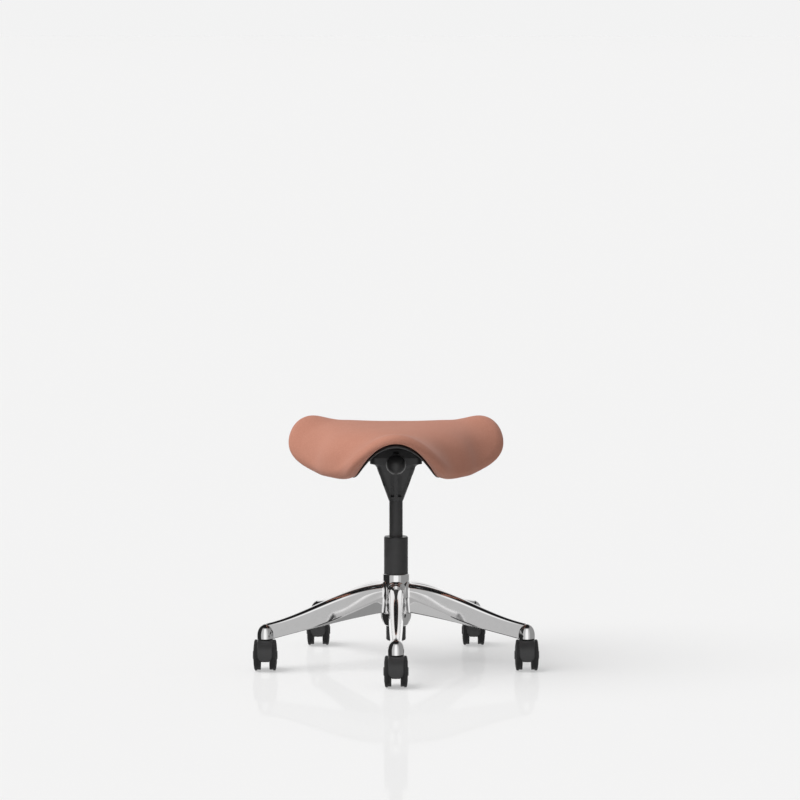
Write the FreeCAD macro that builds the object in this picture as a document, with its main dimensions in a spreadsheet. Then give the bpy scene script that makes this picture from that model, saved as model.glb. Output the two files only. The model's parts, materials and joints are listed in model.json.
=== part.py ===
import FreeCAD, Part
import Sketcher
import math
import os

# Saddle stool with a gas lift, a five-arm cast base and twin-wheel casters.
# Millimetres, +Z up. The origin is on the floor, on the axis of the column.
# The nose of the saddle points along -Y and the height lever lies under it.

doc = FreeCAD.newDocument("SaddleStool")
sheet = doc.addObject("Spreadsheet::Sheet", "Sizes")

DRIVING_SIZES = (
    # Casters
    ("caster_count", 5),
    ("caster_circle_radius", 285),
    ("caster_trail", 6),
    ("wheel_radius", 32),
    ("wheel_step", 1.5),
    ("wheel_gap", 18.6),
    ("wheel_outer_half_width", 24),
    ("wheel_tread_half_width", 21),
    ("wheel_cap_radius", 8),
    ("wheel_cap_height", 1.4),
    ("wheel_face_radius", 22),
    ("wheel_cap_wall", 3.4),
    ("axle_radius", 4),
    ("hood_half_width", 16.5),
    ("hood_skin", 1.8),
    ("hood_bottom_height", 22),
    ("hood_corner_radius", 7.5),
    ("stem_radius", 5.5),
    ("stem_bottom_height", 42),
    ("stem_top_height", 86),
    ("stem_collar_radius", 8),
    ("stem_collar_height", 0.7),
    ("running_gap", 0.05),
    ("seated_gap", 0.02),
    ("moving_gap", 0.3),
    # Base casting
    ("socket_radius", 17.5),
    ("socket_bottom_height", 65),
    ("socket_straight_height", 7),
    ("socket_dome_height", 24.5),
    ("hub_radius", 28.5),
    ("hub_top_height", 189),
    ("hub_chamfer", 1.5),
    ("skirt_radius", 32.5),
    ("skirt_top_height", 108),
    ("skirt_bottom_height", 80),
    ("skirt_rounding", 6),
    ("arm_root_width", 38),
    ("arm_tip_width", 17.5),
    ("arm_root_top_height", 170),
    ("arm_tip_top_height", 97),
    ("arm_bend_degrees", 153),
    ("arm_root_bottom_height", 109),
    ("arm_tip_bottom_height", 62),
    ("arm_bottom_sharpness", 1.3),
    ("arm_wall", 3.5),
    ("arm_rib_thickness", 3),
    ("arm_rib_lift", 6),
    ("arm_crease_height", 146),
    ("arm_undercut", 9),
    # Gas lift
    ("tube_radius", 25),
    ("tube_wall", 1.8),
    ("tube_top_height", 265),
    ("tube_taper_top_height", 150),
    ("tube_taper_bottom_height", 84),
    ("tube_taper_bottom_radius", 22.2),
    ("tube_foot_radius", 20.5),
    ("tube_bottom_height", 48),
    ("tube_floor", 4),
    ("bush_length", 90),
    ("bush_lip", 2),
    ("cylinder_radius", 14),
    ("cylinder_wall", 1.2),
    ("cylinder_bottom_height", 130),
    ("cylinder_shoulder_height", 343),
    ("cylinder_top_height", 391),
    ("taper_bottom_radius", 13.2),
    ("taper_top_radius", 12.4),
    ("taper_bore_radius", 10.5),
    ("rod_radius", 5),
    ("rod_bottom_height", 44),
    ("rod_top_height", 240),
    ("rod_collar_radius", 8),
    ("rod_collar_height", 3),
    ("piston_bottom_height", 225),
    ("piston_height", 13),
    ("bearing_radius", 12),
    ("bearing_height", 5),
    ("clip_radius", 8),
    ("clip_height", 1.8),
    ("rod_guide_height", 12),
    ("button_radius", 3),
    ("button_flange_radius", 6),
    ("button_flange_height", 3),
    # Lever and knob
    ("pivot_offset", 25),
    ("pivot_height", 408),
    ("pivot_pin_radius", 2.5),
    ("pivot_pin_half_length", 34),
    ("lever_tilt_degrees", 14.2),
    ("lever_width", 14),
    ("lever_thickness", 6),
    ("lever_rear_length", 28),
    ("lever_bar_length", 55),
    ("lever_hub_radius", 6),
    ("lever_rod_radius", 4),
    ("lever_rod_length", 98),
    ("lever_touch_gap", 0.2),
    ("knob_radius", 20.3),
    ("knob_distance", 98),
    # Seat support
    ("support_foot_half_width", 15),
    ("support_waist_height", 413),
    ("support_waist_half_width", 39),
    ("support_waist_half_length", 46),
    ("support_wing_height", 425),
    ("support_wing_half_width", 54),
    ("support_wing_half_length", 50),
    ("support_wing_top_height", 438),
    ("support_top_height", 455),
    ("support_top_half_width", 43),
    ("support_top_half_length", 46),
    ("support_offset", 6),
    ("support_rounding", 12),
    ("slot_half_width", 8),
    ("slot_top_height", 440),
    ("rib_half_spacing", 11),
    ("rib_boss_half_width", 4),
    ("rib_recess", 5),
    ("window_half_width", 5.7),
    ("window_height", 6),
    ("window_bottom_height", 446),
    ("screw_half_spacing", 30),
    ("screw_front_offset", 30),
    ("screw_rear_offset", 24),
    ("screw_radius", 4),
    ("screw_head_radius", 7),
    ("screw_head_height", 4.5),
    ("screw_grip", 10),
    ("screw_tip_depth", 4.7),
    # Seat
    ("pan_rise", 11.4),
    ("seat_nose_radius", 240),
    ("seat_flap_radius", 175),
    ("nose_rise", 5),
    ("flap_drop", 101),
    ("lobe_width", 2.4),
    ("lobe_bluntness", 3.8),
    ("ridge_sharpness", 1.86),
    ("lean_sharpness", 1.1),
    ("crown_rise", 4),
    ("lobe_crown_reach", 60),
    ("least_crown_reach", 34),
    ("most_crown_reach", 84),
    ("nose_edge_rounding", 18.4),
    ("rear_edge_rounding", 32.5),
    ("flap_edge_rounding", 17),
    ("seat_flat_radius", 26),
    ("cushion_thickness", 36),
    ("rim_nose_radius", 239),
    ("rim_rear_radius", 226),
    ("rim_flap_radius", 130),
    ("rim_nose_drop", 15),
    ("rim_rear_drop", 32),
    ("rim_flap_drop", 100),
    ("rim_sharpness", 1.8),
    ("arch_sharpness", 2.9),
    ("rear_flap_rise", 10),
    ("pan_gap", 0.6),
    ("pan_thickness", 5),
    ("pan_edge_at_nose", 9),
    ("pan_pad_radius", 48),
)


class Length:
    """A number together with the sheet expression that gives it."""

    def __init__(self, number, text):
        self.number = number
        self.text = text

    def __float__(self):
        return float(self.number)

    def __add__(self, other):
        return Length(float(self) + float(other), "(%s + %s)" % (self.text, words(other)))

    def __radd__(self, other):
        return Length(float(other) + float(self), "(%s + %s)" % (words(other), self.text))

    def __sub__(self, other):
        return Length(float(self) - float(other), "(%s - %s)" % (self.text, words(other)))

    def __rsub__(self, other):
        return Length(float(other) - float(self), "(%s - %s)" % (words(other), self.text))

    def __mul__(self, other):
        return Length(float(self) * float(other), "(%s * %s)" % (self.text, words(other)))

    def __rmul__(self, other):
        return Length(float(other) * float(self), "(%s * %s)" % (words(other), self.text))

    def __truediv__(self, other):
        return Length(float(self) / float(other), "(%s / %s)" % (self.text, words(other)))

    def __neg__(self):
        return Length(-float(self), "(-%s)" % self.text)


def words(value):
    """The sheet expression of a length, or a plain number written out."""
    if isinstance(value, Length):
        return value.text
    return "%.9g" % value


class SizeBook:
    """Gives each driving size as an attribute, as a Length."""


def fill_sheet():
    """Write every driving size into the sheet and return them by name."""
    book = SizeBook()
    for row, (alias, number) in enumerate(DRIVING_SIZES, start=1):
        sheet.set("A%d" % row, alias)
        sheet.set("B%d" % row, str(number))
        sheet.setAlias("B%d" % row, alias)
    doc.recompute()
    for alias, number in DRIVING_SIZES:
        setattr(book, alias, Length(float(sheet.get(alias)), "Sizes.%s" % alias))
    return book


def bind(thing, prop, value):
    """Tie one property to a length, or set it to a plain number."""
    if isinstance(value, Length):
        thing.setExpression(prop, value.text)
    else:
        thing.setExpression(prop, words(value))


def locate(thing, x=0, y=0, z=0):
    """Tie the three coordinates of a placement."""
    bind(thing, "Placement.Base.x", x)
    bind(thing, "Placement.Base.y", y)
    bind(thing, "Placement.Base.z", z)
    return thing


def cylinder(name, radius, bottom, top, x=0, y=0):
    """An upright cylinder between two heights."""
    thing = doc.addObject("Part::Cylinder", name)
    bind(thing, "Radius", radius)
    bind(thing, "Height", top - bottom)
    return locate(thing, x, y, bottom)


def cone(name, bottom_radius, top_radius, bottom, top, x=0, y=0):
    """An upright cone frustum between two heights."""
    thing = doc.addObject("Part::Cone", name)
    bind(thing, "Radius1", bottom_radius)
    bind(thing, "Radius2", top_radius)
    bind(thing, "Height", top - bottom)
    return locate(thing, x, y, bottom)


def box(name, low, high):
    """A box between two opposite corners."""
    thing = doc.addObject("Part::Box", name)
    bind(thing, "Length", high[0] - low[0])
    bind(thing, "Width", high[1] - low[1])
    bind(thing, "Height", high[2] - low[2])
    return locate(thing, low[0], low[1], low[2])


def cross_cylinder(name, radius, half_length, y, z, x=0):
    """A cylinder along X, centred on x."""
    thing = doc.addObject("Part::Cylinder", name)
    bind(thing, "Radius", radius)
    bind(thing, "Height", 2 * half_length)
    thing.Placement.Rotation = FreeCAD.Rotation(FreeCAD.Vector(0, 1, 0), 90)
    return locate(thing, x - half_length, y, z)


def fuse(name, things):
    """One solid made of several."""
    thing = doc.addObject("Part::MultiFuse", name)
    thing.Shapes = things
    thing.Refine = False
    return thing


def cut(name, base, tools):
    """A solid less one or more others."""
    thing = doc.addObject("Part::Cut", name)
    thing.Base = base
    thing.Tool = tools[0] if len(tools) == 1 else fuse(name + "_tools", tools)
    return thing


def feature(name, shape):
    """A sub-part whose shape comes from Part's own functions."""
    thing = doc.addObject("Part::Feature", name)
    thing.Shape = shape
    return thing


def turned(name, outline, about="V_Axis", plane="XZ_Plane"):
    """A body turned from a closed outline of (radius, height) corners.

    Every corner that is off the axis is tied to the sheet.
    """
    body = doc.addObject("PartDesign::Body", name)
    sketch = body.newObject("Sketcher::SketchObject", name + "_outline")
    support = [item for item in body.Origin.OriginFeatures if item.Role == plane][0]
    sketch.AttachmentSupport = [(support, "")]
    sketch.MapMode = "FlatFace"
    corners = [FreeCAD.Vector(float(x), float(y), 0) for x, y in outline]
    count = len(corners)
    for index in range(count):
        line = Part.LineSegment(corners[index], corners[(index + 1) % count])
        sketch.addGeometry(line, False)
    for index in range(count):
        following = (index + 1) % count
        sketch.addConstraint(Sketcher.Constraint("Coincident", index, 2, following, 1))
    for index, (x, y) in enumerate(outline):
        for kind, value, axis in (("DistanceX", x, -2), ("DistanceY", y, -1)):
            if abs(float(value)) < 1e-9:
                sketch.addConstraint(Sketcher.Constraint("PointOnObject", index, 1, axis))
                continue
            number = sketch.addConstraint(
                Sketcher.Constraint(kind, -1, 1, index, 1, float(value))
            )
            bind(sketch, "Constraints[%d]" % number, value)
    turn = body.newObject("PartDesign::Revolution", name + "_turn")
    turn.Profile = sketch
    turn.ReferenceAxis = (sketch, [about])
    turn.Angle = 360
    sketch.Visibility = False
    return body


def finish(thing, label):
    """Give a finished sub-part the name of its file."""
    thing.Label = label
    finished.append(thing)
    return thing


def mixed(low, high, share):
    """The value that lies a share of the way from low to high."""
    return float(low) + (float(high) - float(low)) * share


def caster_angle(index):
    """The direction of one arm, in degrees; the first arm points at the viewer."""
    return -90 + 360 * index / caster_count


def caster_place(index):
    """The stem's axis of one caster."""
    turn = math.radians(caster_angle(index))
    return s.caster_circle_radius * math.cos(turn), s.caster_circle_radius * math.sin(turn)


def arm_top(share):
    """The crown's height, which falls gently from the hub, then faster."""
    bend = math.radians(float(s.arm_bend_degrees))
    fall = (1 - math.cos(bend * share)) / (1 - math.cos(bend))
    return mixed(s.arm_root_top_height, s.arm_tip_top_height, fall)


def arm_bottom(share):
    """The lower edge's height, which never hangs below the caster sockets."""
    height = mixed(s.arm_root_bottom_height, s.arm_tip_bottom_height,
                   share ** float(s.arm_bottom_sharpness))
    return max(height, float(s.socket_bottom_height))


def arm_section(share, inset, below):
    """A closed arm outline at a share of the way from hub to tip.

    The outline is a flat-sided box with a rounded crown and, towards the hub,
    a lower part drawn in under a crease. Inset shrinks it for the hollow.
    """
    reach = arm_start + (arm_end - arm_start) * share
    fade = max(0.0, 1 - share / 0.62) ** 1.5
    top = arm_top(share)
    bottom = arm_bottom(share)
    wide = mixed(s.arm_root_width, s.arm_tip_width, share)
    half = wide / 2 - inset
    narrow = half - 1 - float(s.arm_undercut) * fade
    crease = bottom + 2 + float(s.arm_crease_height - s.arm_root_bottom_height) * fade
    shoulder_half = half - 1.5
    crown = 0.8 * shoulder_half
    shoulder = top - inset - crown
    radius = (shoulder_half ** 2 + crown ** 2) / (2 * crown)
    centre = top - inset - radius
    middle = math.asin(shoulder_half / radius) / 2
    side = radius * math.sin(middle)
    rise = centre + radius * math.cos(middle)

    def at(across, height):
        return FreeCAD.Vector(reach, across, height)

    edges = [
        Part.LineSegment(at(-narrow, bottom - below), at(narrow, bottom - below)).toShape(),
        Part.LineSegment(at(narrow, bottom - below), at(half, crease)).toShape(),
        Part.LineSegment(at(half, crease), at(shoulder_half, shoulder)).toShape(),
        Part.Arc(at(shoulder_half, shoulder), at(side, rise), at(0, top - inset)).toShape(),
        Part.Arc(at(0, top - inset), at(-side, rise), at(-shoulder_half, shoulder)).toShape(),
        Part.LineSegment(at(-shoulder_half, shoulder), at(-half, crease)).toShape(),
        Part.LineSegment(at(-half, crease), at(-narrow, bottom - below)).toShape(),
    ]
    return Part.Wire(edges)


def arm_loft(first, last, steps, inset, below):
    """A solid through arm outlines between two shares of the arm."""
    shares = [first + (last - first) * step / steps for step in range(steps + 1)]
    return Part.makeLoft([arm_section(share, inset, below) for share in shares], True, False)


def one_arm():
    """One hollow arm along +X, open below, with ribs across the hollow."""
    outer = arm_loft(0.0, 1.0, 8, 0.0, 0.0)
    hollow = arm_loft(0.07, 0.93, 8, float(s.arm_wall), 4.0)
    arm = outer.cut(hollow)
    thick = float(s.arm_rib_thickness)
    for share in (0.3, 0.52, 0.74):
        reach = arm_start + (arm_end - arm_start) * share
        wide = float(s.arm_root_width)
        high = float(s.arm_root_top_height)
        corner = FreeCAD.Vector(reach, -wide / 2, arm_bottom(share) + float(s.arm_rib_lift))
        plate = Part.makeBox(thick, wide, high, corner)
        arm = arm.fuse(plate.common(hollow))
    return arm


def make_star_base():
    """The cast base: hub, skirt, five hollow arms and five caster sockets."""
    pieces = []
    arm = one_arm()
    for index in range(caster_count):
        turned_arm = arm.copy()
        turned_arm.rotate(FreeCAD.Vector(), FreeCAD.Vector(0, 0, 1), caster_angle(index))
        pieces.append(feature("arm_%d" % (index + 1), turned_arm))
    hub = turned("hub", (
        (0, s.skirt_bottom_height),
        (s.skirt_radius - s.skirt_rounding, s.skirt_bottom_height),
        (s.skirt_radius - s.skirt_rounding * 0.3, s.skirt_bottom_height + s.skirt_rounding * 0.3),
        (s.skirt_radius, s.skirt_bottom_height + s.skirt_rounding),
        (s.skirt_radius, s.skirt_top_height),
        (s.hub_radius, s.skirt_top_height + (s.skirt_radius - s.hub_radius)),
        (s.hub_radius, s.hub_top_height - s.hub_chamfer),
        (s.hub_radius - s.hub_chamfer, s.hub_top_height),
        (0, s.hub_top_height),
    ))
    bore = turned("hub_bore", (
        (0, s.skirt_bottom_height - 1),
        (s.tube_taper_bottom_radius + s.seated_gap, s.skirt_bottom_height - 1),
        (s.tube_taper_bottom_radius + s.seated_gap, s.tube_taper_bottom_height),
        (s.tube_radius + s.seated_gap, s.tube_taper_top_height),
        (s.tube_radius + s.seated_gap, s.hub_top_height + 1),
        (0, s.hub_top_height + 1),
    ))
    straight_top = s.socket_bottom_height + s.socket_straight_height
    bores = [bore]
    for index in range(caster_count):
        name = "socket_%d" % (index + 1)
        x, y = caster_place(index)
        pieces.append(cylinder(name, s.socket_radius, s.socket_bottom_height, straight_top, x, y))
        dome = doc.addObject("Part::Ellipsoid", name + "_dome")
        bind(dome, "Radius1", s.socket_dome_height)
        bind(dome, "Radius2", s.socket_radius)
        bind(dome, "Radius3", s.socket_radius)
        dome.Angle1 = 0
        pieces.append(locate(dome, x, y, straight_top))
        bores.append(cylinder(name + "_bore", s.stem_radius + s.seated_gap,
                              s.socket_bottom_height - 1, s.stem_top_height + 1, x, y))
    casting = fuse("base_casting", pieces + [hub])
    finish(cut("star_base_cut", casting, bores), "star_base")


def make_gas_lift():
    """The two tubes, the rod inside them and what guides and holds them."""
    floor_top = s.tube_bottom_height + s.tube_floor
    tube_bore = s.tube_radius - s.tube_wall
    rod_hole = s.rod_radius + s.running_gap
    finish(turned("tube", (
        (rod_hole, s.tube_bottom_height),
        (s.tube_foot_radius - 2, s.tube_bottom_height),
        (s.tube_foot_radius, s.tube_bottom_height + 2),
        (s.tube_foot_radius, s.tube_taper_bottom_height),
        (s.tube_taper_bottom_radius, s.tube_taper_bottom_height),
        (s.tube_radius, s.tube_taper_top_height),
        (s.tube_radius, s.tube_top_height),
        (tube_bore, s.tube_top_height),
        (tube_bore, s.tube_taper_top_height),
        (s.tube_foot_radius - s.tube_wall, s.tube_taper_bottom_height),
        (s.tube_foot_radius - s.tube_wall, floor_top),
        (rod_hole, floor_top),
    )), "outer_tube")
    finish(turned("bush", (
        (s.cylinder_radius + s.running_gap, s.tube_top_height - s.bush_length),
        (tube_bore - s.seated_gap, s.tube_top_height - s.bush_length),
        (tube_bore - s.seated_gap, s.tube_top_height),
        (s.tube_radius - 1, s.tube_top_height),
        (s.tube_radius - 1, s.tube_top_height + s.bush_lip),
        (s.cylinder_radius + s.running_gap, s.tube_top_height + s.bush_lip),
    )), "guide_bush")
    cylinder_bore = s.cylinder_radius - s.cylinder_wall
    crown_bottom = s.cylinder_top_height - s.tube_floor
    neck_bottom = s.cylinder_shoulder_height - s.tube_floor
    finish(turned("lift", (
        (cylinder_bore, s.cylinder_bottom_height),
        (s.cylinder_radius, s.cylinder_bottom_height),
        (s.cylinder_radius, s.cylinder_shoulder_height),
        (s.taper_bottom_radius, s.cylinder_shoulder_height),
        (s.taper_top_radius, s.cylinder_top_height),
        (s.button_radius + s.running_gap, s.cylinder_top_height),
        (s.button_radius + s.running_gap, crown_bottom),
        (s.taper_bore_radius, crown_bottom),
        (s.taper_bore_radius, neck_bottom),
        (cylinder_bore, neck_bottom),
    )), "inner_cylinder")
    finish(turned("seal", (
        (rod_hole, s.cylinder_bottom_height),
        (cylinder_bore - s.seated_gap, s.cylinder_bottom_height),
        (cylinder_bore - s.seated_gap, s.cylinder_bottom_height + s.rod_guide_height),
        (rod_hole, s.cylinder_bottom_height + s.rod_guide_height),
    )), "rod_guide")
    bearing_top = floor_top + s.bearing_height
    finish(turned("bearing", (
        (rod_hole, floor_top),
        (s.bearing_radius, floor_top),
        (s.bearing_radius, bearing_top),
        (rod_hole, bearing_top),
    )), "thrust_bearing")
    collar_bottom = bearing_top + s.running_gap
    finish(turned("rod", (
        (0, s.rod_bottom_height),
        (s.rod_radius, s.rod_bottom_height),
        (s.rod_radius, collar_bottom),
        (s.rod_collar_radius, collar_bottom),
        (s.rod_collar_radius, collar_bottom + s.rod_collar_height),
        (s.rod_radius, collar_bottom + s.rod_collar_height),
        (s.rod_radius, s.rod_top_height),
        (0, s.rod_top_height),
    )), "piston_rod")
    clip_top = s.tube_bottom_height - s.moving_gap
    finish(turned("clip", (
        (s.rod_radius + s.seated_gap, clip_top - s.clip_height),
        (s.clip_radius, clip_top - s.clip_height),
        (s.clip_radius, clip_top),
        (s.rod_radius + s.seated_gap, clip_top),
    )), "retaining_clip")
    finish(turned("plunger", (
        (s.rod_radius + s.seated_gap, s.piston_bottom_height),
        (cylinder_bore - s.running_gap * 2, s.piston_bottom_height),
        (cylinder_bore - s.running_gap * 2, s.piston_bottom_height + s.piston_height),
        (s.rod_radius + s.seated_gap, s.piston_bottom_height + s.piston_height),
    )), "piston")
    flange_top = crown_bottom - s.moving_gap
    finish(turned("button", (
        (0, flange_top - s.button_flange_height),
        (s.button_flange_radius, flange_top - s.button_flange_height),
        (s.button_flange_radius, flange_top),
        (s.button_radius, flange_top),
        (s.button_radius, button_top),
        (0, button_top),
    )), "valve_button")


def tilt_lever(thing):
    """Stand a piece of the lever at the pivot, tilted up towards its knob."""
    thing.Placement.Rotation = FreeCAD.Rotation(FreeCAD.Vector(1, 0, 0), -1)
    bind(thing, "Placement.Rotation.Angle", -s.lever_tilt_degrees)
    return locate(thing, 0, -s.pivot_offset, s.pivot_height)


def make_lever():
    """The height lever, its ball knob and its pin."""
    half = s.lever_width / 2
    bar = box("lever_bar",
              (-half, -s.lever_bar_length, -s.lever_thickness / 2),
              (half, s.lever_rear_length, s.lever_thickness / 2))
    hub = cross_cylinder("lever_hub", s.lever_hub_radius, half, 0, 0)
    stalk = doc.addObject("Part::Cylinder", "lever_stalk")
    bind(stalk, "Radius", s.lever_rod_radius)
    bind(stalk, "Height", s.lever_rod_length - s.lever_bar_length + 5)
    stalk.Placement.Rotation = FreeCAD.Rotation(FreeCAD.Vector(1, 0, 0), 90)
    locate(stalk, 0, 5 - s.lever_bar_length, 0)
    pin_hole = cross_cylinder("lever_eye", s.pivot_pin_radius + s.running_gap, half + 1, 0, 0)
    lever = cut("lever_cut", fuse("lever_blank", [bar, hub, stalk]), [pin_hole])
    finish(tilt_lever(lever), "lever")
    ball = doc.addObject("Part::Sphere", "knob_ball")
    bind(ball, "Radius", s.knob_radius)
    locate(ball, 0, -s.knob_distance, 0)
    socket = doc.addObject("Part::Cylinder", "knob_socket")
    bind(socket, "Radius", s.lever_rod_radius + s.seated_gap)
    bind(socket, "Height", s.knob_radius + 2)
    socket.Placement.Rotation = FreeCAD.Rotation(FreeCAD.Vector(1, 0, 0), -90)
    locate(socket, 0, -s.lever_rod_length, 0)
    finish(tilt_lever(cut("knob_cut", ball, [socket])), "ball_knob")
    finish(cross_cylinder("pivot", s.pivot_pin_radius, s.pivot_pin_half_length,
                          -s.pivot_offset, s.pivot_height), "lever_pin")


def support_section(height, half_width, half_length, offset):
    """A rounded rectangle at one height, a little forward of the column's axis."""
    corner = float(s.support_rounding)
    wide = float(half_width)
    long = float(half_length)
    back = float(offset)
    z = float(height)
    edges = []
    turns = ((1, 1), (-1, 1), (-1, -1), (1, -1))
    arcs = []
    for index, (right, rear) in enumerate(turns):
        centre = FreeCAD.Vector(right * (wide - corner), back + rear * (long - corner), z)
        start = math.radians(90 * index)
        points = []
        for step in (0, 0.5, 1):
            angle = start + step * math.pi / 2
            points.append(centre + FreeCAD.Vector(math.cos(angle), math.sin(angle), 0) * corner)
        arcs.append(points)
    for index, points in enumerate(arcs):
        following = arcs[(index + 1) % len(arcs)]
        edges.append(Part.Arc(*points).toShape())
        edges.append(Part.LineSegment(points[2], following[0]).toShape())
    return Part.Wire(edges)


def support_front(height):
    """The front face's place between foot and waist."""
    share = (height - float(s.cylinder_shoulder_height))
    share /= float(s.support_waist_height - s.cylinder_shoulder_height)
    foot = -float(s.support_foot_half_width)
    waist = -float(s.support_offset + s.support_waist_half_length)
    return foot + (waist - foot) * share


def front_recess(name, low_x, high_x):
    """A shallow slanting pocket in the front face, beside the middle boss."""
    low = float(s.cylinder_shoulder_height) + 9
    high = float(s.pivot_height) - 6
    deep = float(s.rib_recess)
    outline = [
        FreeCAD.Vector(low_x, support_front(low) + deep, low),
        FreeCAD.Vector(low_x, support_front(high) + deep, high),
        FreeCAD.Vector(low_x, support_front(high) - deep, high),
        FreeCAD.Vector(low_x, support_front(low) - deep, low),
    ]
    face = Part.Face(Part.makePolygon(outline + outline[:1]))
    return feature(name, face.extrude(FreeCAD.Vector(high_x - low_x, 0, 0)))


def screw_places():
    """The four screws' axes."""
    side = s.screw_half_spacing
    return (
        (-side, -s.screw_front_offset),
        (side, -s.screw_front_offset),
        (-side, s.screw_rear_offset),
        (side, s.screw_rear_offset),
    )


def make_support():
    """The casting between the cylinder and the seat pan, with its screws."""
    foot = float(s.cylinder_shoulder_height)
    waist = float(s.support_waist_height)
    wing = float(s.support_wing_height)
    slim = float(s.support_waist_half_width)
    broad = float(s.support_wing_half_width)
    short = float(s.support_waist_half_length)
    long = float(s.support_wing_half_length)
    shift = -float(s.support_offset)
    sections = [
        support_section(foot, s.support_foot_half_width, s.support_foot_half_width, 0),
        support_section(waist, slim, short, shift),
    ]
    for step in range(1, 5):
        swing = math.radians(22.5 * step)
        height = waist + (wing - waist) * math.sin(swing)
        width = broad - (broad - slim) * math.cos(swing)
        length = long - (long - short) * math.cos(swing)
        sections.append(support_section(height, width, length, shift))
    sections.append(support_section(s.support_wing_top_height, broad, long, shift))
    sections.append(support_section(s.support_top_height, s.support_top_half_width,
                                    s.support_top_half_length, shift))
    blank = feature("support_blank", Part.makeLoft(sections, True, True))
    socket = cone("support_socket", s.taper_bottom_radius + s.seated_gap,
                  s.taper_top_radius + s.seated_gap,
                  s.cylinder_shoulder_height, s.cylinder_top_height)
    slot_bottom = s.cylinder_top_height + 1
    relief = cylinder("support_relief", s.taper_top_radius + s.seated_gap,
                      s.cylinder_top_height - 0.5, slot_bottom + 0.5)
    half = s.slot_half_width
    slot = box("support_slot", (-half, -s.pivot_offset - 8, slot_bottom),
               (half, half, s.slot_top_height))
    mouth = box("support_mouth", (-half, -80, s.pivot_height - 3),
                (half, -s.pivot_offset, s.slot_top_height))
    pin_hole = cross_cylinder("support_pin_hole", s.pivot_pin_radius + s.seated_gap,
                              s.support_wing_half_width, -s.pivot_offset, s.pivot_height)
    window_bottom = s.window_bottom_height
    window = box("support_window", (-s.window_half_width, -80, window_bottom),
                 (s.window_half_width, -s.support_waist_half_length + 6,
                  window_bottom + s.window_height))
    near = float(s.rib_boss_half_width)
    far = float(s.rib_half_spacing)
    screw_seat = s.support_top_height - s.screw_grip
    screw_tip = s.support_top_height + s.pan_rise - s.screw_tip_depth
    tools = [socket, relief, slot, mouth, pin_hole, window,
             front_recess("left_recess", -far, -near), front_recess("right_recess", near, far)]
    for index, (x, y) in enumerate(screw_places()):
        name = "screw_way_%d" % (index + 1)
        tools.append(cylinder(name + "_head", s.screw_head_radius + 0.5,
                              s.cylinder_shoulder_height, screw_seat, x, y))
        tools.append(cylinder(name + "_shank", s.screw_radius + 0.2,
                              screw_seat - 1, s.support_top_height + 1, x, y))
        screw = turned("screw_%d" % (index + 1), (
            (0, screw_seat - s.screw_head_height),
            (s.screw_head_radius - 1.5, screw_seat - s.screw_head_height),
            (s.screw_head_radius, screw_seat - s.screw_head_height + 2),
            (s.screw_head_radius, screw_seat),
            (s.screw_radius, screw_seat),
            (s.screw_radius, screw_tip),
            (0, screw_tip),
        ))
        finish(locate(screw, x, y, 0), "support_screw_%d" % (index + 1))
    finish(cut("support_cut", blank, tools), "seat_support")


def curve_point(corners, share):
    """A point on the cubic curve of four (radius, height) corners."""
    rest = 1 - share
    weights = (rest ** 3, 3 * rest ** 2 * share, 3 * rest * share ** 2, share ** 3)
    radius = sum(weight * corner[0] for weight, corner in zip(weights, corners))
    height = sum(weight * corner[1] for weight, corner in zip(weights, corners))
    return radius, height


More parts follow.
